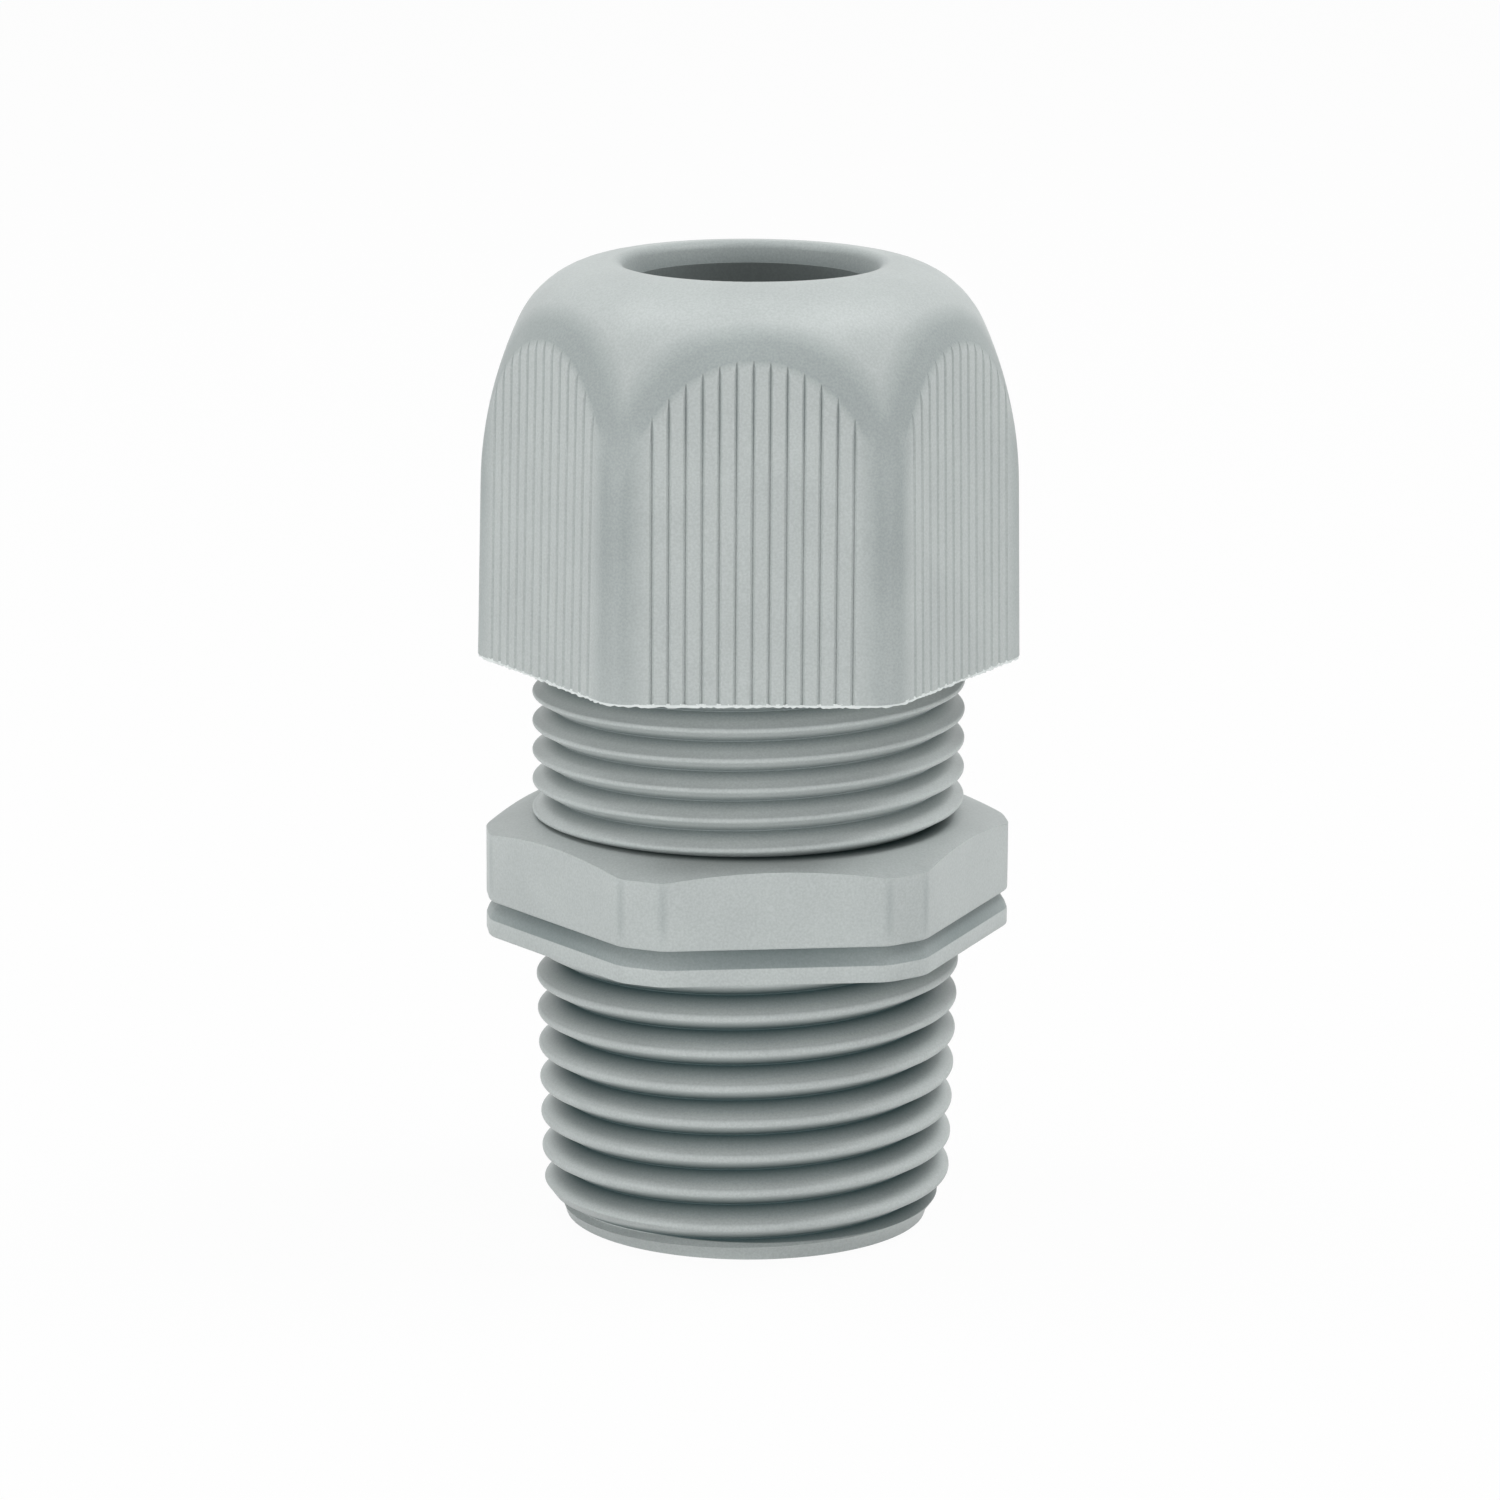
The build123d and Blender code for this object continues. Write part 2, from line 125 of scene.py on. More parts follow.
def clear_picks(obj: Piece) -> None:
    """Deselects all vertices, edges and faces of a mesh.

    Args:
        obj: the mesh's object.
    """
    for items in (obj.data.vertices, obj.data.edges, obj.data.polygons):
        for item in items:
            item.select = False


def apply_all(obj: Piece) -> None:
    """Applies each modifier of an object in order.

    Args:
        obj: the object.
    """
    activate(obj)
    for modifier in list(obj.modifiers):
        bpy.ops.object.modifier_apply(modifier=modifier.name)


def draw_line(name: str, points: list[Point], closed: bool) -> Piece:
    """Draws a line of (radius, height) points in the XZ plane, corner by corner.

    Args:
        name: name of the new object.
        points: corners in millimetres.
        closed: whether the last corner is joined to the first.

    Returns:
        The object that holds the line.
    """
    bpy.ops.object.select_all(action="DESELECT")
    bpy.ops.mesh.primitive_plane_add(size=MM, location=(0, 0, 0))
    obj = bpy.context.object
    obj.name = name
    obj.data.name = name
    bpy.ops.object.mode_set(mode="EDIT")
    bpy.ops.mesh.select_mode(type="VERT")
    bpy.ops.mesh.select_all(action="SELECT")
    bpy.ops.mesh.merge(type="CENTER")
    radius, height = points[0]
    bpy.ops.transform.translate(value=(radius * MM, 0, height * MM))
    for (r0, z0), (r1, z1) in zip(points, points[1:]):
        step = ((r1 - r0) * MM, 0, (z1 - z0) * MM)
        bpy.ops.mesh.extrude_region_move(TRANSFORM_OT_translate={"value": step})
    close_edit()
    if closed:
        pick_corners(obj, [points[0], points[-1]])
        edit(obj)
        bpy.ops.mesh.edge_face_add()
        close_edit()
    return obj


def pick_corners(obj: Piece, corners: list[Point]) -> None:
    """Selects the vertices of a drawn line that lie at some of its corners.

    Args:
        obj: the line.
        corners: the corners' places, in millimetres.
    """
    clear_picks(obj)
    for vertex in obj.data.vertices:
        radius, _, height = vertex.co / MM
        vertex.select = any(math.dist((radius, height), c) < CORNER_REACH for c in corners)


def round_corners(obj: Piece, corners: list[Point], width: float, steps: int) -> None:
    """Rounds some corners of a drawn line.

    Args:
        obj: the line.
        corners: the corners' places, in millimetres.
        width: how far the rounding runs along each side, in millimetres.
        steps: segments of the rounding.
    """
    pick_corners(obj, corners)
    edit(obj)
    bpy.ops.mesh.bevel(offset=width * MM, segments=steps, profile=0.5, affect="VERTICES")
    close_edit()


def tidy_mesh(obj: Piece) -> None:
    """Merges doubled vertices and turns all faces outwards.

    Args:
        obj: the mesh's object.
    """
    edit(obj)
    bpy.ops.mesh.select_all(action="SELECT")
    bpy.ops.mesh.remove_doubles(threshold=MERGE_DISTANCE)
    bpy.ops.mesh.normals_make_consistent(inside=False)
    close_edit()


def turned(name: str, points: list[Point], steps: int = TURNED_STEPS) -> Piece:
    """Turns a solid: draws its closed half section and spins it round the Z axis.

    Args:
        name: name of the new object.
        points: corners of the half section, in millimetres.
        steps: segments of the full turn.

    Returns:
        The closed solid.
    """
    obj = draw_line(name, points, True)
    edit(obj)
    bpy.ops.mesh.select_all(action="SELECT")
    bpy.ops.mesh.spin(steps=steps, angle=FULL_TURN, center=(0, 0, 0), axis=(0, 0, 1))
    close_edit()
    tidy_mesh(obj)
    return obj


def trim_level(obj: Piece, height: float, keep_above: bool) -> None:
    """Cuts a solid off at a height and closes the cut with one face.

    Args:
        obj: the solid.
        height: where it is cut, in millimetres.
        keep_above: whether the upper part stays.
    """
    edit(obj)
    bpy.ops.mesh.select_all(action="SELECT")
    bpy.ops.mesh.bisect(
        plane_co=(0, 0, height * MM), plane_no=(0, 0, 1), use_fill=True,
        clear_inner=keep_above, clear_outer=not keep_above, threshold=MERGE_DISTANCE,
    )
    close_edit()


def combine(obj: Piece, tool: Piece, how: Join) -> None:
    """Combines a solid with another one, which is used up.

    Args:
        obj: the solid that stays.
        tool: the other one.
        how: what is kept of the two.
    """
    boolean = obj.modifiers.new("joining", "BOOLEAN")
    boolean.operation = how.value
    boolean.solver = "EXACT"
    boolean.object = tool
    apply_all(obj)
    bpy.data.objects.remove(tool)


def smooth(obj: Piece, degrees: float) -> None:
    """Shades a piece smooth wherever its faces meet at less than an angle."""
    activate(obj)
    bpy.ops.object.shade_smooth_by_angle(angle=math.radians(degrees))


def bevel_edges(obj: Piece, picked: set[int], width: float, steps: int) -> None:
    """Bevels some edges of a mesh.

    Args:
        obj: the mesh's object.
        picked: numbers of the edges.
        width: width of the bevel, in millimetres.
        steps: its segments.
    """
    clear_picks(obj)
    for number in picked:
        obj.data.edges[number].select = True
    edit(obj, Pick.EDGES)
    bpy.ops.mesh.bevel(offset=width * MM, segments=steps, affect="EDGES")
    close_edit()


def upright_edges(obj: Piece) -> set[int]:
    """Finds the edges that run along Z.

    Args:
        obj: the mesh's object.

    Returns:
        The edges' numbers.
    """
    found = set()
    for edge in obj.data.edges:
        low, high = (obj.data.vertices[i].co for i in edge.vertices)
        if abs((high - low).normalized().z) > 0.999:
            found.add(edge.index)
    return found


def level_edges(obj: Piece, height: float) -> set[int]:
    """Finds the edges that lie at a height.

    Args:
        obj: the mesh's object.
        height: the height, in millimetres.

    Returns:
        The edges' numbers.
    """
    found = set()
    for edge in obj.data.edges:
        heights = [obj.data.vertices[i].co.z / MM for i in edge.vertices]
        if all(abs(z - height) < LEVEL_REACH for z in heights):
            found.add(edge.index)
    return found


def seen_rays(tree: bpy.types.NodeTree) -> Socket:
    """Tells the rays that see the background from those that only light the object.

    Args:
        tree: the node tree that gets the nodes.

    Returns:
        1 for camera, glossy and transmission rays and 0 for the others.
    """
    path = tree.nodes.new("ShaderNodeLightPath")
    seen = path.outputs["Is Camera Ray"]
    for ray in ("Is Glossy Ray", "Is Transmission Ray"):
        either = tree.nodes.new("ShaderNodeMath")
        either.operation = "MAXIMUM"
        tree.links.new(seen, either.inputs[0])
        tree.links.new(path.outputs[ray], either.inputs[1])
        seen = either.outputs[0]
    return seen


class NodeSheet:
    """A material's node tree, with short calls that add its nodes and give their sockets."""

    def __init__(self, name: str) -> None:
        """Starts an empty material with a shader and an output.

        Args:
            name: the material's name.
        """
        self.material = bpy.data.materials.new(name)
        self.material.use_nodes = True
        self.tree = self.material.node_tree
        self.tree.nodes.clear()
        self.shader = self.add("ShaderNodeBsdfPrincipled")
        self.output = self.add("ShaderNodeOutputMaterial")
        self.link(self.shader.outputs["BSDF"], self.output.inputs["Surface"])

    def add(self, kind: str, **settings: str) -> bpy.types.Node:
        """Adds a node.

        Args:
            kind: the node's type.
            settings: properties that are set on it.

        Returns:
            The node.
        """
        node = self.tree.nodes.new(kind)
        for key, value in settings.items():
            setattr(node, key, value)
        return node

    def link(self, source: Socket, target: Socket) -> None:
        """Links an output to an input."""
        self.tree.links.new(source, target)

    def feed(self, target: Socket, value: Socket | float | Colour) -> None:
        """Gives an input a socket, a number or a colour.

        Args:
            target: the input.
            value: what it gets.
        """
        if isinstance(value, Socket):
            self.link(value, target)
        elif isinstance(value, tuple):
            target.default_value = (*value, 1.0)
        else:
            target.default_value = value

    def paint(self, socket_name: str, value: Socket | float | Colour) -> None:
        """Gives one of the shader's own inputs its value."""
        self.feed(self.shader.inputs[socket_name], value)

    def coordinates(self) -> Socket:
        """The piece's own coordinates, in metres."""
        return self.add("ShaderNodeTexCoord").outputs["Object"]

    def axes(self, place: Socket) -> Axes:
        """Splits coordinates into X, Y and Z.

        Args:
            place: the coordinates.

        Returns:
            The three sockets.
        """
        parts = self.add("ShaderNodeSeparateXYZ")
        self.link(place, parts.inputs["Vector"])
        return tuple(parts.outputs)

    def calc(self, operation: str, *values: Socket | float) -> Socket:
        """Does one sum.

        Args:
            operation: name of the sum.
            values: its sockets and numbers.

        Returns:
            The result.
        """
        node = self.add("ShaderNodeMath", operation=operation)
        for slot, value in enumerate(values):
            self.feed(node.inputs[slot], value)
        return node.outputs[0]

    def ramp(self, value: Socket, start: Point, end: Point) -> Socket:
        """Carries a value from one (value, result) point to another, and no further.

        Args:
            value: the value.
            start: the first point.
            end: the second point.

        Returns:
            The result.
        """
        node = self.add("ShaderNodeMapRange")
        self.link(value, node.inputs["Value"])
        for slot, number in zip(range(1, 5), (start[0], end[0], start[1], end[1])):
            node.inputs[slot].default_value = number
        return node.outputs["Result"]

    def band(self, rise: Socket, low: float, high: float, soft: float) -> Socket:
        """Makes a band between two heights.

        Args:
            rise: height of the point, in metres.
            low: where the band starts, in millimetres.
            high: where it ends.
            soft: half the height of its soft ends.

        Returns:
            1 in the band and 0 beyond it.
        """
        above = self.ramp(rise, ((low - soft) * MM, 0.0), ((low + soft) * MM, 1.0))
        below = self.ramp(rise, ((high - soft) * MM, 1.0), ((high + soft) * MM, 0.0))
        return self.calc("MULTIPLY", above, below)

    def radius(self, axes: Axes) -> Socket:
        """Measures how far a point lies from the Z axis.

        Args:
            axes: the point's coordinates.

        Returns:
            The distance, in metres.
        """
        across, along, _ = axes
        squares = [self.calc("MULTIPLY", axis, axis) for axis in (across, along)]
        return self.calc("POWER", self.calc("ADD", *squares), 0.5)

    def flat_angle(self, axes: Axes, turn: float) -> Socket:
        """Measures the angle between a point and the middle of the nearest hexagon side.

        Args:
            axes: the point's coordinates.
            turn: angle of one of the hexagon's corners from +X, in degrees.

        Returns:
            The angle, in radians, up to a twelfth of a turn either way.
        """
        across, along, _ = axes
        angle = self.calc("ARCTAN2", along, across)
        angle = self.calc("ADD", angle, FULL_TURN - math.radians(turn))
        return self.calc("SUBTRACT", self.calc("MODULO", angle, SIXTH_TURN), SIXTH_TURN / 2)

    def noise(self, place: Socket, scale: float, detail: float) -> Socket:
        """Makes a noise pattern.

        Args:
            place: the coordinates that it follows.
            scale: how fine it is, in waves a metre.
            detail: how many finer layers it has.

        Returns:
            The noise, about 0.5.
        """
        node = self.add("ShaderNodeTexNoise")
        node.inputs["Scale"].default_value = scale
        node.inputs["Detail"].default_value = detail
        self.link(place, node.inputs["Vector"])
        return node.outputs["Fac"]

    def blend(
        self, share: Socket | float, first: Socket | Colour, second: Socket | Colour,
        way: str = "MIX",
    ) -> Socket:
        """Blends two colours.

        Args:
            share: how much of the second there is.
            first: the first colour.
            second: the second colour.
            way: how they are blended.

        Returns:
            The blend.
        """
        node = self.add("ShaderNodeMix", data_type="RGBA", blend_type=way)
        self.feed(node.inputs["Factor"], share)
        self.feed(node.inputs["A"], first)
        self.feed(node.inputs["B"], second)
        return node.outputs["Result"]

    def roughen(self, height: Socket, strength: float, distance: float) -> None:
        """Gives the shader a fine relief.

        Args:
            height: the relief.
            strength: how much of it shows.
            distance: how high it is, in metres.
        """
        bump = self.add("ShaderNodeBump")
        bump.inputs["Strength"].default_value = strength
        bump.inputs["Distance"].default_value = distance
        self.link(height, bump.inputs["Height"])
        self.paint("Normal", bump.outputs["Normal"])


class PaintedShade(Protocol):
    """A part of a piece where shade is painted into the colour."""

    def plain_share(self, sheet: NodeSheet, axes: Axes) -> Socket:
        """Makes the share of the plain colour that is left at each point."""


@dataclass(frozen=True)
class PaintedRecessShade:
    """Painted shade: a band of heights in which the colour darkens from one radius inwards.

    Attributes:
        low: height where the band starts, in millimetres.
        high: height where it ends.
        inner: radius at which the colour is deepest.
        outer: radius from which it is plain.
        depth: share of the plain colour that is left at the inner radius.
        taper: growth of both radii a millimetre of height.
        soft: half the height of the band's soft ends.
    """

    low: float
    high: float
    inner: float
    outer: float
    depth: float
    taper: float = 0.0
    soft: float = 0.02

    def plain_share(self, sheet: NodeSheet, axes: Axes) -> Socket:
        """Makes the share of the plain colour that the band leaves.

        Args:
            sheet: the material.
            axes: the piece's own coordinates.

        Returns:
            The share at each point.
        """
        rise = axes[2]
        widening = sheet.calc("MULTIPLY", rise, self.taper)
        radius = sheet.calc("SUBTRACT", sheet.radius(axes), widening)
        share = sheet.ramp(radius, (self.inner * MM, self.depth), (self.outer * MM, 1.0))
        inside = sheet.band(rise, self.low, self.high, self.soft)
        lost = sheet.calc("MULTIPLY", sheet.calc("SUBTRACT", 1.0, share), inside)
        return sheet.calc("SUBTRACT", 1.0, lost)


@dataclass(frozen=True)
class PaintedFacetShade:
    """Painted shade: soft darker lines down the edges of a hexagon's cut corners.

    Attributes:
        low: height where the lines start, in millimetres.
        high: height where they end.
        turn: angle of one corner from +X, in degrees.
        spread: angle from a corner's middle to its edges, in degrees.
        width: half width of a line, in degrees.
        depth: share of the plain colour that a line takes.
        soft: half the height of the lines' soft ends.
    """

    low: float
    high: float
    turn: float
    spread: float = 4.92
    width: float = 1.5
    depth: float = 0.16
    soft: float = 0.5

    def plain_share(self, sheet: NodeSheet, axes: Axes) -> Socket:
        """Makes the share of the plain colour that the lines leave.

        Args:
            sheet: the material.
            axes: the piece's own coordinates.

        Returns:
            The share at each point.
        """
        angle = sheet.calc("ABSOLUTE", sheet.flat_angle(axes, self.turn + 30))
        off_line = sheet.calc("SUBTRACT", angle, math.radians(self.spread))
        off_line = sheet.calc("ABSOLUTE", off_line)
        line = sheet.ramp(off_line, (0.0, self.depth), (math.radians(self.width), 0.0))
        inside = sheet.band(axes[2], self.low, self.high, self.soft)
        return sheet.calc("SUBTRACT", 1.0, sheet.calc("MULTIPLY", line, inside))


@dataclass(frozen=True)
class PaintedCornerShade:
    """Painted shade: darker strips down a nut's corner columns and a band over each grip flat
    where it meets the dome.

    Attributes:
        turn: angle of one corner from +X, in degrees.
        apothem: distance of a flat at height 0, in millimetres.
        draft: how much nearer a flat comes a millimetre of height.
        strip: half width of the full strip at a corner, in degrees.
        fade: half width of the strip where it ends, in degrees.
        column_z: heights between which a strip comes up to full strength.
        foot_share: its strength at the lower one.
        dome_z: heights between which it ends in the dome.
        arch_z: heights between which the band over the flats begins.
        band: how far past a flat the band is full, and where it has gone.
        edge: how far past a flat the band comes up to full strength.
        depth: share of the plain colour that is lost.
    """

    turn: float
    apothem: float
    draft: float
    strip: float = 2.6
    fade: float = 7.2
    column_z: Point = (28.5, 37.0)
    foot_share: float = 0.5
    dome_z: Point = (42.6, 44.8)
    arch_z: Point = (40.0, 42.5)
    band: Point = (0.55, 1.30)
    edge: float = 0.12
    depth: float = 0.27

    def strips(self, sheet: NodeSheet, axes: Axes, angle: Socket) -> Socket:
        """Makes the strips at the corners.

        Args:
            sheet: the material.
            axes: the piece's own coordinates.
            angle: angle of the point from the middle of its flat.

        Returns:
            The strips' strength.
        """
        rise = axes[2]
        corner = sheet.calc("SUBTRACT", SIXTH_TURN / 2, sheet.calc("ABSOLUTE", angle))
        strip = sheet.ramp(
            corner, (math.radians(self.strip), 1.0), (math.radians(self.fade), 0.0),
        )
        low, high = (height * MM for height in self.column_z)
        rising = sheet.ramp(rise, (low, self.foot_share), (high, 1.0))
        low, high = (height * MM for height in self.dome_z)
        ending = sheet.ramp(rise, (low, 1.0), (high, 0.0))
        return sheet.calc("MULTIPLY", strip, sheet.calc("MULTIPLY", rising, ending))

    def arches(self, sheet: NodeSheet, axes: Axes, angle: Socket) -> Socket:
        """Makes the band that goes over each flat, where the dome begins.

        Args:
            sheet: the material.
            axes: the piece's own coordinates.
            angle: angle of the point from the middle of its flat.

        Returns:
            The band's strength.
        """
        rise = axes[2]
        reach = sheet.calc("MULTIPLY", sheet.radius(axes), sheet.calc("COSINE", angle))
        lean = sheet.calc("MULTIPLY", rise, self.draft)
        flat = sheet.calc("SUBTRACT", self.apothem * MM, lean)
        past = sheet.calc("SUBTRACT", flat, reach)
        near = sheet.ramp(past, (0.0, 0.0), (self.edge * MM, 1.0))
        full, gone = (distance * MM for distance in self.band)
        far = sheet.ramp(past, (full, 1.0), (gone, 0.0))
        low, high = (height * MM for height in self.arch_z)
        over = sheet.ramp(rise, (low, 0.0), (high, 1.0))
        return sheet.calc("MULTIPLY", sheet.calc("MULTIPLY", near, far), over)

    def plain_share(self, sheet: NodeSheet, axes: Axes) -> Socket:
        """Makes the share of the plain colour that the strips and bands leave.

        Args:
            sheet: the material.
            axes: the piece's own coordinates.

        Returns:
            The share at each point.
        """
        angle = sheet.flat_angle(axes, self.turn)
        strips = self.strips(sheet, axes, angle)
        arches = self.arches(sheet, axes, angle)
        lost = sheet.calc("MULTIPLY", sheet.calc("MAXIMUM", strips, arches), self.depth)
        return sheet.calc("SUBTRACT", 1.0, lost)


@dataclass(frozen=True)
class SatinPolyamide:
    """Moulded grey polyamide with a faint mottle, a fine speckle, a satin grain and painted
    shade.
    """

    name: str
    colour: Colour = (0.452, 0.488, 0.480)
    mottle_colour: Colour = (0.428, 0.462, 0.456)
    painted_shades: tuple[PaintedShade, ...] = ()
    shade_colour: Colour = (0.004, 0.040, 0.044)
    mottle_scale: float = 260.0
    mottle_range: Point = (0.35, 0.65)
    speckle_scale: float = 9000.0
    speckle_range: Point = (0.30, 0.70)
    speckle_depth: float = 0.13
    roughness: float = 0.46
    roughness_play: float = 0.05
    flow_scale: float = 700.0
    grain_scale: float = 5200.0
    grain_strength: float = 0.35
    grain_height: float = 0.000012
    specular: float = 0.30

    def tint(self, sheet: NodeSheet, place: Socket) -> Socket:
        """Makes the colour: clouds, speckle and then the painted shade.

        Args:
            sheet: the material.
            place: the piece's own coordinates.

        Returns:
            The colour at each point.
        """
        low, high = self.mottle_range
        clouds = sheet.ramp(sheet.noise(place, self.mottle_scale, 3.0), (low, 0.0), (high, 1.0))
        tint = sheet.blend(clouds, self.colour, self.mottle_colour)
        low, high = self.speckle_range
        grains = sheet.noise(place, self.speckle_scale, 1.0)
        share = sheet.ramp(grains, (low, 1.0 - self.speckle_depth), (high, 1.0))
        tint = sheet.blend(1.0, tint, share, "MULTIPLY")
        axes = sheet.axes(place)
        # painted shade: each part darkens the colour towards the shade colour
        for part in self.painted_shades:
            tint = sheet.blend(part.plain_share(sheet, axes), self.shade_colour, tint)
        return tint

    def build(self) -> bpy.types.Material:
        """Makes the material.

        Returns:
            The material.
        """
        sheet = NodeSheet(self.name)
        place = sheet.coordinates()
        sheet.paint("Base Color", self.tint(sheet, place))
        smoothest, roughest = (self.roughness + side * self.roughness_play for side in (-1, 1))
        flow = sheet.noise(place, self.flow_scale, 2.0)
        sheet.paint("Roughness", sheet.ramp(flow, (0.0, smoothest), (1.0, roughest)))
        grain = sheet.noise(place, self.grain_scale, 2.0)
        sheet.roughen(grain, self.grain_strength, self.grain_height)
        sheet.paint("Specular IOR Level", self.specular)
        return sheet.material


@dataclass(frozen=True)
class ThinFlash:
    """Pale, thin flash, paler where it is thinnest."""

    name: str = "nut_flash_pale"
    colour: Colour = (0.70, 0.74, 0.73)
    thick_colour: Colour = (0.60, 0.64, 0.63)
    patch_scale: float = 2400.0
    roughness: float = 0.5

    def build(self) -> bpy.types.Material:
        """Makes the material.

        Returns:
            The material.
        """
        sheet = NodeSheet(self.name)
        patches = sheet.noise(sheet.coordinates(), self.patch_scale, 3.0)
        sheet.paint("Base Color", sheet.blend(patches, self.colour, self.thick_colour))
        sheet.paint("Roughness", self.roughness)
        return sheet.material


@dataclass(frozen=True)
class DarkElastomer:
    """Moulded black elastomer, dull, with a dusty bloom."""

    name: str = "insert_black"
    colour: Colour = (0.012, 0.012, 0.013)
    bloom: Colour = (0.03, 0.03, 0.031)
    dust_scale: float = 900.0
    grain_scale: float = 4200.0
    grain_strength: float = 0.4
    grain_height: float = 0.00002
    roughness: float = 0.62

    def build(self) -> bpy.types.Material:
        """Makes the material.

        Returns:
            The material.
        """
        sheet = NodeSheet(self.name)
        place = sheet.coordinates()
        dust = sheet.noise(place, self.dust_scale, 4.0)
        sheet.paint("Base Color", sheet.blend(dust, self.colour, self.bloom))
        grain = sheet.noise(place, self.grain_scale, 2.0)
        sheet.roughen(grain, self.grain_strength, self.grain_height)
        sheet.paint("Roughness", self.roughness)
        return sheet.material


def dress(obj: Piece, material: bpy.types.Material) -> None:
    """Gives a piece one material on all of its faces.

    Args:
        obj: the piece.
        material: the material.
    """
    if not obj.material_slots:
        obj.data.materials.append(material)
    for slot in obj.material_slots:
        slot.material = material


def report(obj: Piece) -> None:
    """Logs what a piece is called, how many faces it has and what it is made of."""
    log.info("%s: %d faces, %s", obj.name, len(obj.data.polygons), obj.active_material.name)


@dataclass
class Thread:
    """A male thread: a line of one pitch with rounded crests, wound up a helix."""

    name: str
    pitch: float
    start_z: float
    crest_radius: float
    depth: float
    crest_width: float
    crest_round: float
    steps: int = 120
    round_steps: int = 4

    def flank_line(self) -> Piece:
        """Draws the line of one pitch, from root to root over a crest.

        Returns:
            The line, at the height of the first crest.
        """
        root = self.crest_radius - self.depth
        half_crest = self.crest_width / 2
        half_root = half_crest + self.depth * math.tan(HALF_FLANK)
        crests = [(self.crest_radius, -half_crest), (self.crest_radius, half_crest)]
        line = draw_line(self.name, [
            (root, -self.pitch / 2), (root, -half_root), *crests,
            (root, half_root), (root, self.pitch / 2),
        ], False)
        round_corners(line, crests, self.crest_round, self.round_steps)
        edit(line)
        bpy.ops.mesh.select_all(action="SELECT")
        bpy.ops.transform.translate(value=(0, 0, self.start_z * MM))
        close_edit()
        return line

    def build(self, low: float, high: float, taper: float = 0.0) -> Piece:
        """Winds the thread and closes it at two heights.

        Args:
            low: height of the lower end, in millimetres.
            high: height of the upper end, in millimetres.
            taper: growth of the radius a millimetre of height.

        Returns:
            A closed solid with a plain face at each end.
        """
        thread = self.flank_line()
        screw = thread.modifiers.new("winding", "SCREW")
        screw.axis = "Z"
        screw.angle = FULL_TURN
        screw.screw_offset = self.pitch * MM
        screw.iterations = math.ceil((high - self.start_z) / self.pitch) + 2
        screw.steps = self.steps
        screw.render_steps = self.steps
        screw.use_merge_vertices = False
        apply_all(thread)
        tidy_mesh(thread)
        if taper:
            heights = [vertex.co.z / MM for vertex in thread.data.vertices]
            deform = thread.modifiers.new("taper", "SIMPLE_DEFORM")
            deform.deform_method = "TAPER"
            deform.deform_axis = "Z"
            deform.factor = taper / self.crest_radius * (max(heights) - min(heights))
            apply_all(thread)
        trim_level(thread, low, True)
        trim_level(thread, high, False)
        tidy_mesh(thread)
        return thread


@dataclass
class HexPlate:
    """A hexagonal plate with its corners cut square and their edges rounded."""

    apothem: float
    corner_cut: float
    corner_round: float
    turn: float
    round_steps: int = 4

    def build(self, name: str, low: float, height: float) -> Piece:
        """Makes the closed plate.

        Args:
            name: name of the new object.
            low: height of its underside, in millimetres.
            height: how tall it is.

        Returns:
            The plate, centred on the Z axis.
        """
        reach = self.apothem / math.cos(math.pi / 6)
        bpy.ops.object.select_all(action="DESELECT")
        bpy.ops.mesh.primitive_cylinder_add(
            vertices=6, radius=reach * MM, depth=height * MM, location=(0, 0, 0),
        )
        plate = bpy.context.object
        plate.name = name
        corner = math.atan2(plate.data.vertices[0].co.y, plate.data.vertices[0].co.x)
        plate.data.transform(Matrix.Rotation(math.radians(self.turn) - corner, 4, "Z"))
        plate.data.transform(Matrix.Translation((0, 0, (low + height / 2) * MM)))
        cut = (reach - self.corner_cut) / math.sin(math.pi / 6)
        bevel_edges(plate, upright_edges(plate), cut, 1)
        bevel_edges(plate, upright_edges(plate), self.corner_round, self.round_steps)
        return plate


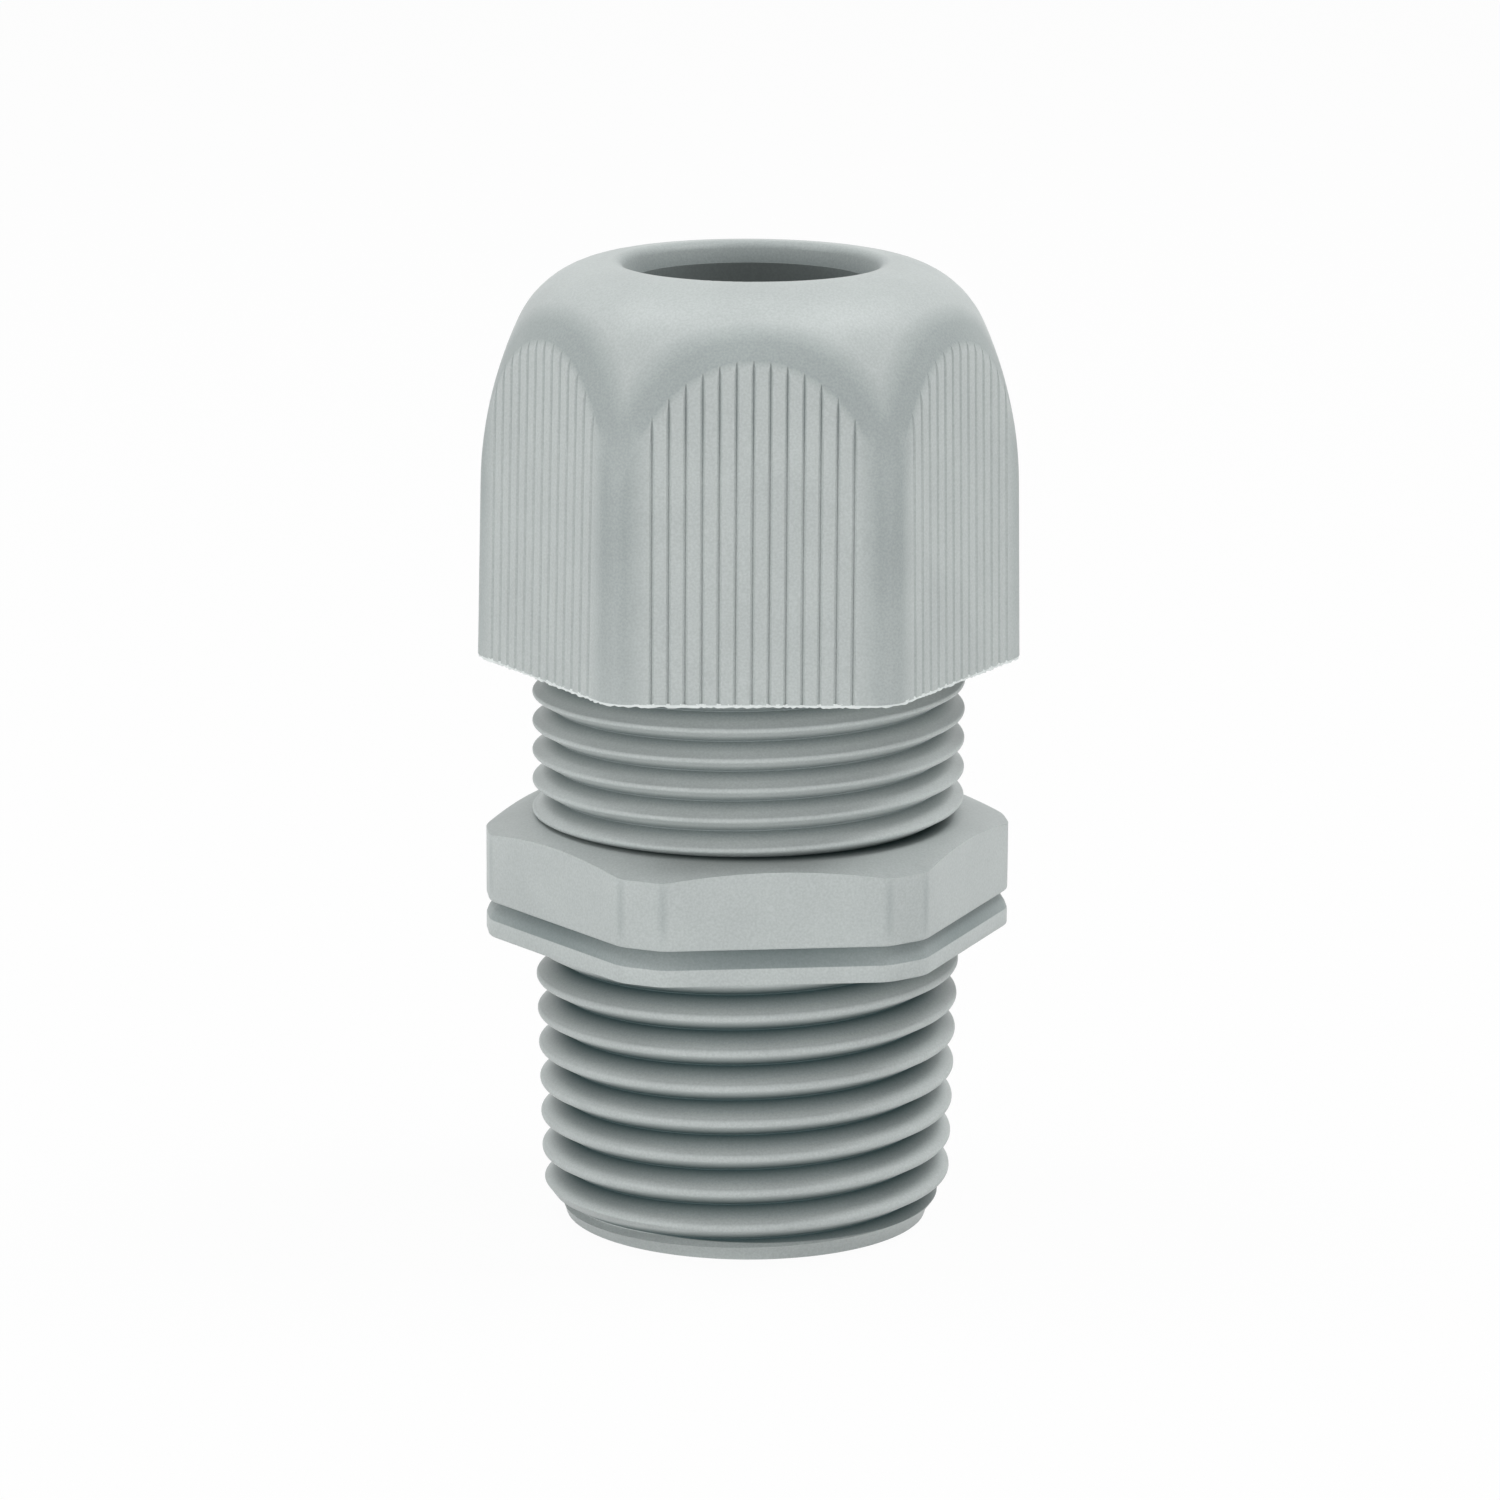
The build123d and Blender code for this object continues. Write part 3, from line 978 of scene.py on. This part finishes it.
@dataclass
class GlandBody:
    """The body moulding: entry thread, lip, hexagon, neck and upper thread."""

    entry_pitch: float = 1.8143
    entry_taper: float = 1 / 32
    entry_start: float = -1.2235
    entry_end_radius: float = 10.302
    entry_depth: float = 1.277
    entry_crest: float = 0.30
    entry_round: float = 0.13
    end_radius: float = 9.18
    end_land: float = 9.30
    end_land_z: float = 0.40
    end_slope: float = 0.75
    pilot_stand: float = 0.015
    pilot_inset: Point = (0.12, 0.03)
    pilot_steps: int = 150
    lip_z: float = 14.89
    lip_thickness: float = 0.82
    lip_edge: float = 0.07
    lip_foot_edge: float = 0.10
    groove_width: float = 0.98
    groove_depth: float = 0.55
    groove_knee: Point = (0.35, 0.22)
    groove_tuck: float = 0.5
    apothem: float = 12.0
    corner_cut: float = 13.2
    corner_round: float = 0.45
    hex_height: float = 4.11
    hex_turn: float = 6.86
    hex_foot_edge: float = 0.15
    top_radius: float = 11.40
    top_angle: float = 20.0
    neck_radius: float = 9.20
    neck_height: float = 0.15
    neck_tuck: float = 0.2
    nut_pitch: float = 1.50
    nut_start: float = 18.794
    nut_radius: float = 10.886
    nut_depth: float = 1.10
    nut_crest: float = 0.19
    nut_round: float = 0.085
    rim_chamfer: float = 0.9
    height: float = 33.5
    passage: float = 7.40
    passage_mouth: float = 0.5
    seat_z: float = 24.60
    seat_radius: float = 8.70
    seat_mouth: float = 0.25

    @property
    def lip_top(self) -> float:
        """Height of the lip's upper face."""
        return self.lip_z + self.lip_thickness

    @property
    def hex_z(self) -> float:
        """Height of the hexagon's lower face."""
        return self.lip_top + self.groove_width

    @property
    def hex_top(self) -> float:
        """Height of the hexagon's upper face."""
        return self.hex_z + self.hex_height

    def entry_end(self) -> Piece:
        """Makes the tapered thread with its chamfered end.

        Returns:
            The closed solid.
        """
        top = self.lip_z + self.lip_thickness / 2
        thread = Thread(
            "entry_thread", self.entry_pitch, self.entry_start, self.entry_end_radius,
            self.entry_depth, self.entry_crest, self.entry_round,
        ).build(0.0, top, self.entry_taper)
        reach = self.apothem
        reach_z = self.end_land_z + (reach - self.end_land) / self.end_slope
        envelope = turned("end_envelope", [
            (0, -OVERRUN), (self.end_radius - self.end_slope / 4, -OVERRUN),
            (self.end_radius, 0), (self.end_land, self.end_land_z),
            (reach, reach_z), (reach, top + OVERRUN), (0, top + OVERRUN),
        ])
        combine(thread, envelope, Join.KEEP_SHARED)
        inset, tuck = self.pilot_inset
        pilot = turned("end_pilot", [
            (0, 0), (self.end_radius - self.pilot_stand, 0),
            (self.end_land - self.pilot_stand, self.end_land_z),
            (self.end_land - inset, self.end_land_z + tuck), (0, self.end_land_z + tuck),
        ], self.pilot_steps)
        combine(thread, pilot, Join.ADD)
        return thread

    def raise_top(self, plate: Piece, top: float, rise: float, inset: float) -> None:
        """Draws a plate's top face upwards and inwards.

        Args:
            plate: the plate.
            top: height of its top face, in millimetres.
            rise: how far the face goes up.
            inset: how far the wrench flats lean inwards on the way.
        """
        share = 1 - inset / self.apothem
        clear_picks(plate)
        for face in plate.data.polygons:
            level = abs(face.center.z / MM - top) < CORNER_REACH
            face.select = level and face.normal.z > 0.9
        edit(plate, Pick.FACES)
        bpy.ops.mesh.extrude_region_move(TRANSFORM_OT_translate={"value": (0, 0, rise * MM)})
        bpy.ops.transform.resize(value=(share, share, 1), center_override=(0, 0, 0))
        close_edit()

    def lip(self, shape: HexPlate) -> Piece:
        """Makes the lip with the sloped web of the groove above it.

        Args:
            shape: the hexagon's outline.

        Returns:
            The closed solid, which ends inside the hexagon.
        """
        low_share, low_depth = self.groove_knee
        knee_z = self.lip_top + low_share * self.groove_width
        lip = shape.build("lip", self.lip_z, self.lip_thickness)
        for top, rise, inset in (
            (self.lip_top, low_share * self.groove_width, low_depth * self.groove_depth),
            (knee_z, (1 - low_share) * self.groove_width, (1 - low_depth) * self.groove_depth),
            (self.hex_z, self.groove_tuck, 0),
        ):
            self.raise_top(lip, top, rise, inset)
        bevel_edges(lip, level_edges(lip, self.lip_top), self.lip_edge, 2)
        bevel_edges(lip, level_edges(lip, self.lip_z), self.lip_foot_edge, 3)
        return lip

    def hexagon(self) -> Piece:
        """Makes the lip, the groove and the wrench hexagon with its chamfered top.

        Returns:
            The closed solid.
        """
        shape = HexPlate(self.apothem, self.corner_cut, self.corner_round, self.hex_turn)
        lip = self.lip(shape)
        block = shape.build("hexagon", self.hex_z, self.hex_height)
        bevel_edges(block, level_edges(block, self.hex_z), self.hex_foot_edge, 3)
        reach = self.corner_cut + OVERRUN
        fall = (reach - self.top_radius) * math.tan(math.radians(self.top_angle))
        cone = turned("hexagon_top", [
            (0, self.hex_z - OVERRUN), (reach, self.hex_z - OVERRUN),
            (reach, self.hex_top - fall), (self.top_radius, self.hex_top), (0, self.hex_top),
        ])
        combine(block, cone, Join.KEEP_SHARED)
        combine(lip, block, Join.ADD)
        return lip

    def nut_end(self) -> Piece:
        """Makes the neck and the upper thread, cut square below and chamfered at its rim.

        Returns:
            The closed solid.
        """
        foot_z = self.hex_top + self.neck_height
        thread = Thread(
            "upper_thread", self.nut_pitch, self.nut_start, self.nut_radius,
            self.nut_depth, self.nut_crest, self.nut_round,
        ).build(foot_z, self.height)
        rim = self.nut_radius - self.rim_chamfer
        reach = self.nut_radius + OVERRUN
        envelope = turned("rim_envelope", [
            (0, foot_z - OVERRUN), (reach, foot_z - OVERRUN),
            (reach, self.height - self.rim_chamfer - OVERRUN), (rim, self.height),
            (rim, self.height + OVERRUN), (0, self.height + OVERRUN),
        ])
        combine(thread, envelope, Join.KEEP_SHARED)
        neck = turned("neck", [
            (0, self.hex_top - OVERRUN), (self.neck_radius, self.hex_top - OVERRUN),
            (self.neck_radius, foot_z + self.neck_tuck), (0, foot_z + self.neck_tuck),
        ])
        combine(thread, neck, Join.ADD)
        return thread

    def build(self) -> Piece:
        """Joins the parts of the moulding and bores the cord passage.

        Returns:
            The moulding.
        """
        body = self.entry_end()
        combine(body, self.hexagon(), Join.ADD)
        combine(body, self.nut_end(), Join.ADD)
        bore = turned("passage", [
            (0, -OVERRUN), (self.passage + self.passage_mouth + OVERRUN, -OVERRUN),
            (self.passage, self.passage_mouth), (self.passage, self.seat_z),
            (self.seat_radius, self.seat_z), (self.seat_radius, self.height - self.seat_mouth),
            (self.seat_radius + self.seat_mouth + OVERRUN, self.height + OVERRUN),
            (0, self.height + OVERRUN),
        ])
        combine(body, bore, Join.CUT)
        body.name = "gland_body_moulding"
        smooth(body, 32)
        return body

    def dress(self, body: Piece) -> None:
        """Gives the moulding its finish, with painted shade in the thread roots, the gap above
        the hexagon, the groove and along the hexagon's corner edges, and its place in the
        frame.

        Args:
            body: the moulding.
        """
        # painted shade: darker thread roots, gap above the hexagon, groove and hexagon corner
        # edges
        dress(body, SatinPolyamide("polyamide_grey", painted_shades=(
            PaintedRecessShade(0.90, self.lip_z - 0.02, 9.03, 10.10, 0.13, self.entry_taper),
            PaintedRecessShade(self.hex_top - 0.20, self.height + 0.10, 9.75, 10.45, 0.42),
            PaintedRecessShade(self.hex_top - 0.20, self.hex_top + 0.45, 9.0, 10.95, 0.05),
            PaintedRecessShade(self.lip_top + 0.05, self.hex_z - 0.03, 9.0, 16.0, 0.05),
            PaintedFacetShade(17.3, 20.0, self.hex_turn),
        )).build())
        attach(body, Body.BODY.value)
        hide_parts("gland_body")


@dataclass
class DomeNut:
    """The dome nut, whose own solid has the right shape, and the flash under its mouth."""

    turn: float = 0.80
    flat_reach: float = 12.571
    flat_draft: float = 0.01855
    hole_z: float = 47.88
    mouth_apothem: float = 12.03
    corner_cut: float = 13.56
    corner_round: float = 0.44
    mouth_z: float = 28.97
    flash_drop: float = 0.12
    flash_overlap: float = 0.05
    flash_thickness: float = 0.14
    flash_ragged: float = 0.045
    flash_cuts: int = 72
    flash_seed: int = 7

    def dress(self, nut: Piece) -> None:
        """Gives the nut's own solid its finish, with painted shade on the wall and rim of its
        hole, down its corner columns and over its flats.

        Args:
            nut: the solid.
        """
        # painted shade: darker hole wall and rim, corner columns and band over the flats
        dress(nut, SatinPolyamide("nut_polyamide_grey", painted_shades=(
            PaintedRecessShade(40.0, self.hole_z, 5.8, 6.1, 0.28),
            PaintedRecessShade(self.hole_z, 48.95, 5.9, 6.95, 0.52),
            PaintedCornerShade(self.turn, self.flat_reach, self.flat_draft),
        )).build())

    def flash_wall(self) -> Piece:
        """Makes the side wall of the mouth's outline, with its long edges cut up.

        Returns:
            The open wall.
        """
        low = self.mouth_z - self.flash_drop
        plate = HexPlate(self.mouth_apothem, self.corner_cut, self.corner_round, self.turn)
        wall = plate.build("nut_mouth_flash", low, self.flash_drop + self.flash_overlap)
        for face in wall.data.polygons:
            face.select = abs(face.normal.z) > 0.9
        edit(wall, Pick.FACES)
        bpy.ops.mesh.delete(type="FACE")
        close_edit()
        level = level_edges(wall, low) | level_edges(wall, self.mouth_z + self.flash_overlap)
        for edge in wall.data.edges:
            first, second = (wall.data.vertices[i].co for i in edge.vertices)
            edge.select = edge.index in level and (first - second).length > 2 * MM
        edit(wall, Pick.EDGES)
        bpy.ops.mesh.subdivide(number_cuts=self.flash_cuts)
        close_edit()
        return wall

    def build_flash(self) -> Piece:
        """Tears the wall's edges and gives it its thickness.

        The faces that the cutting up left picked stay so, and the upper edge is torn too.

        Returns:
            The flash.
        """
        flash = self.flash_wall()
        for edge in flash.data.edges:
            edge.select = False
        for vertex in flash.data.vertices:
            vertex.select = vertex.co.z / MM < self.mouth_z - self.flash_drop + CORNER_REACH
        edit(flash)
        bpy.ops.transform.vertex_random(
            offset=self.flash_ragged * MM, uniform=1.0, seed=self.flash_seed,
        )
        close_edit()
        wall = flash.modifiers.new("wall", "SOLIDIFY")
        wall.thickness = self.flash_thickness * MM
        wall.offset = -1
        apply_all(flash)
        tidy_mesh(flash)
        smooth(flash, 30)
        return flash

    def dress_flash(self, flash: Piece) -> None:
        """Gives the flash its finish and its place in the frame.

        Args:
            flash: the flash.
        """
        dress(flash, ThinFlash().build())
        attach(flash, Body.NUT.value)


@dataclass
class SealingInsert:
    """The elastomer sleeve that hangs by its collar in the nut's pocket."""

    bore: float = 4.95
    outer: float = 6.90
    foot_chamfer: float = 0.5
    collar: float = 7.60
    collar_low: float = 45.40
    collar_top: float = 46.50
    length: float = 13.10
    mouth: float = 5.70
    mouth_depth: float = 1.40
    edge: float = 0.12

    def build(self) -> Piece:
        """Turns the sleeve and rounds its edges.

        Returns:
            The sleeve.
        """
        low = self.collar_top - self.length
        sleeve = turned("sealing_insert_sleeve", [
            (self.bore, low), (self.outer - self.foot_chamfer, low),
            (self.outer, low + self.foot_chamfer),
            (self.outer, self.collar_low), (self.collar, self.collar_low),
            (self.collar, self.collar_top), (self.mouth, self.collar_top),
            (self.bore, self.collar_top - self.mouth_depth),
        ], 128)
        bevel = sleeve.modifiers.new("soft_edges", "BEVEL")
        bevel.width = self.edge * MM
        bevel.segments = 3
        bevel.limit_method = "ANGLE"
        bevel.angle_limit = math.radians(25)
        apply_all(sleeve)
        smooth(sleeve, 35)
        return sleeve

    def dress(self, sleeve: Piece) -> None:
        """Gives the sleeve its finish and its place in the frame.

        Args:
            sleeve: the sleeve.
        """
        dress(sleeve, DarkElastomer().build())
        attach(sleeve, Body.INSERT.value)
        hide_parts("sealing_insert")


@dataclass
class ClampingCage:
    """The fingers that grip the insert: a foot with the fingers' shanks, and the fingers' heads
    as a piece of their own.
    """

    inner: float = 7.20
    outer: float = 8.62
    seat_z: float = 24.60
    head_z: float = 33.80
    head_radius: float = 9.50
    head_height: float = 2.20
    tip_radius: float = 8.20
    tip_chamfer: float = 0.3
    tip_z: float = 39.30
    slot_z: float = 28.20
    slot_width: float = 0.80
    fingers: int = 10
    steps: int = 120

    def cut_slots(self, ring: Piece, low: float, high: float) -> None:
        """Cuts the slots between the fingers.

        Args:
            ring: the ring that is cut.
            low: height where the slots begin, in millimetres.
            high: height where they end.
        """
        for step in range(self.fingers // 2):
            bpy.ops.object.select_all(action="DESELECT")
            bpy.ops.mesh.primitive_cube_add(size=1, location=(0, 0, 0))
            blade = bpy.context.object
            size = Matrix.Diagonal((
                3 * self.head_radius * MM, self.slot_width * MM, (high - low) * MM, 1
            ))
            turn = Matrix.Rotation(FULL_TURN * step / self.fingers, 4, "Z")
            rise = Matrix.Translation((0, 0, (low + high) / 2 * MM))
            blade.data.transform(rise @ turn @ size)
            combine(ring, blade, Join.CUT)

    def shanks(self) -> Piece:
        """Makes the ring on the body's seat and the fingers' shanks.

        Returns:
            The slotted ring.
        """
        ring = turned("clamping_cage_shanks", [
            (self.inner, self.seat_z), (self.outer, self.seat_z),
            (self.outer, self.head_z), (self.inner, self.head_z),
        ], self.steps)
        self.cut_slots(ring, self.slot_z, self.head_z + OVERRUN)
        smooth(ring, 35)
        return ring

    def heads(self) -> Piece:
        """Makes the fingers' thicker heads above the body's rim.

        Returns:
            The slotted ring.
        """
        ring = turned("clamping_cage_heads", [
            (self.inner, self.head_z), (self.head_radius, self.head_z),
            (self.head_radius, self.head_z + self.head_height),
            (self.tip_radius, self.tip_z - self.tip_chamfer),
            (self.tip_radius - self.tip_chamfer, self.tip_z), (self.inner, self.tip_z),
        ], self.steps)
        self.cut_slots(ring, self.head_z - OVERRUN, self.tip_z + OVERRUN)
        smooth(ring, 35)
        return ring

    def dress(self, shanks: Piece, heads: Piece) -> None:
        """Gives the cage its finish and its place in the frame.

        Args:
            shanks: the foot with the fingers' shanks.
            heads: the fingers' heads.
        """
        finish = SatinPolyamide(
            "cage_polyamide_grey", (0.36, 0.41, 0.40), (0.33, 0.38, 0.38),
        ).build()
        for piece in (shanks, heads):
            dress(piece, finish)
            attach(piece, Body.BODY.value)
            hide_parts("clamping_cage")
        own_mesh(heads)


@dataclass(frozen=True)
class Lamp:
    """A soft square lamp; its share is the brightness it alone gives a white face."""

    name: str
    place: Place
    size: float
    share: float

    def hang(self, target: Vector) -> None:
        """Hangs the lamp.

        Args:
            target: the point that it looks at, in metres.
        """
        data = bpy.data.lights.new(self.name, "AREA")
        data.shape = "SQUARE"
        data.size = self.size
        data.energy = self.share * math.pi ** 2 * (Vector(self.place) - target).length ** 2
        lamp = bpy.data.objects.new(self.name, data)
        lamp.location = self.place
        lamp.rotation_mode = "QUATERNION"
        lamp.rotation_quaternion = (target - lamp.location).to_track_quat("-Z", "Y")
        bpy.context.scene.collection.objects.link(lamp)


@dataclass
class Studio:
    """The pale floor, the soft lamps and the camera at the photograph's angle."""

    target: Place = (0.085 * MM, 0, 23.974 * MM)
    distance: float = 326.69 * MM
    elevation: float = 13.0
    roll: float = 0.348
    focal_pixels: float = 6476.6
    frame_pixels: int = 1500
    sensor: float = 36.0
    ambient: float = 0.40
    floor_colour: Colour = (0.66, 0.66, 0.66)
    floor_size: float = 8
    floor_white: float = 0.96
    lights: tuple[Lamp, ...] = (
        Lamp("top_left", (-0.24, 0.06, 0.55), 0.22, 0.36),
        Lamp("top_right", (0.26, 0.06, 0.54), 0.22, 0.50),
        Lamp("side_left", (-0.32, -0.24, 0.03), 0.12, 0.49),
        Lamp("side_right", (0.32, -0.24, 0.03), 0.12, 0.34),
        Lamp("front", (0.02, -0.45, 0.02), 0.12, 0.20),
    )

    def camera(self) -> None:
        """Sets up the camera."""
        rise = math.radians(self.elevation)
        back = Vector((0, -math.cos(rise), math.sin(rise)))
        data = bpy.data.cameras.new("photo_view")
        data.sensor_width = self.sensor
        data.lens = self.focal_pixels / self.frame_pixels * self.sensor
        data.clip_start = 0.01
        data.clip_end = 10.0
        camera = bpy.data.objects.new("photo_view", data)
        camera.rotation_mode = "QUATERNION"
        look = (-back).to_track_quat("-Z", "Y")
        turn = Matrix.Rotation(math.radians(self.roll), 4, "Z")
        camera.rotation_quaternion = (look.to_matrix().to_4x4() @ turn).to_quaternion()
        camera.location = Vector(self.target) + back * self.distance
        bpy.context.scene.collection.objects.link(camera)
        bpy.context.scene.camera = camera

    def world(self) -> None:
        """Lights the scene evenly and shows plain white behind it."""
        world = bpy.data.worlds.new("studio")
        bpy.context.scene.world = world
        world.use_nodes = True
        tree = world.node_tree
        tree.nodes.clear()
        mix = tree.nodes.new("ShaderNodeMixShader")
        tree.links.new(seen_rays(tree), mix.inputs[0])
        for slot, strength in ((1, self.ambient), (2, 1.0)):
            light = tree.nodes.new("ShaderNodeBackground")
            light.inputs["Color"].default_value = (1, 1, 1, 1)
            light.inputs["Strength"].default_value = strength
            tree.links.new(light.outputs[0], mix.inputs[slot])
        output = tree.nodes.new("ShaderNodeOutputWorld")
        tree.links.new(mix.outputs[0], output.inputs["Surface"])

    def floor(self) -> None:
        """Lays a plain pale floor that keeps a soft shadow."""
        bpy.ops.object.select_all(action="DESELECT")
        bpy.ops.mesh.primitive_plane_add(size=self.floor_size, location=(0, 0, 0))
        floor = bpy.context.object
        floor.name = "floor"
        sheet = NodeSheet("floor_white")
        sheet.paint("Base Color", self.floor_colour)
        sheet.paint("Roughness", 0.9)
        glow = sheet.add("ShaderNodeEmission")
        glow.inputs["Color"].default_value = (1, 1, 1, 1)
        mix = sheet.add("ShaderNodeMixShader")
        share = sheet.calc("MULTIPLY", seen_rays(sheet.tree), self.floor_white)
        sheet.link(share, mix.inputs[0])
        sheet.link(sheet.shader.outputs[0], mix.inputs[1])
        sheet.link(glow.outputs[0], mix.inputs[2])
        sheet.link(mix.outputs[0], sheet.output.inputs["Surface"])
        floor.data.materials.append(sheet.material)

    def build(self) -> None:
        """Sets up the view, the light and the floor."""
        bpy.context.scene.view_settings.view_transform = "Standard"
        self.camera()
        for lamp in self.lights:
            lamp.hang(Vector(self.target))
        self.world()
        self.floor()
        log.info("studio: %d lamps", len(self.lights))


def main() -> None:
    """Builds the pieces in order, dresses them and sets up the studio."""
    logging.basicConfig(level=logging.INFO, format="%(name)s: %(message)s")
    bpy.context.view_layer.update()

    gland_body = GlandBody()
    body = gland_body.build()
    gland_body.dress(body)
    report(body)

    dome_nut = DomeNut()
    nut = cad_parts["dome_nut"]
    dome_nut.dress(nut)
    report(nut)
    flash = dome_nut.build_flash()
    dome_nut.dress_flash(flash)
    report(flash)

    sealing_insert = SealingInsert()
    sleeve = sealing_insert.build()
    sealing_insert.dress(sleeve)
    report(sleeve)

    clamping_cage = ClampingCage()
    shanks, heads = clamping_cage.shanks(), clamping_cage.heads()
    clamping_cage.dress(shanks, heads)
    report(shanks)
    report(heads)

    Studio().build()


if __name__ == "__main__":
    main()
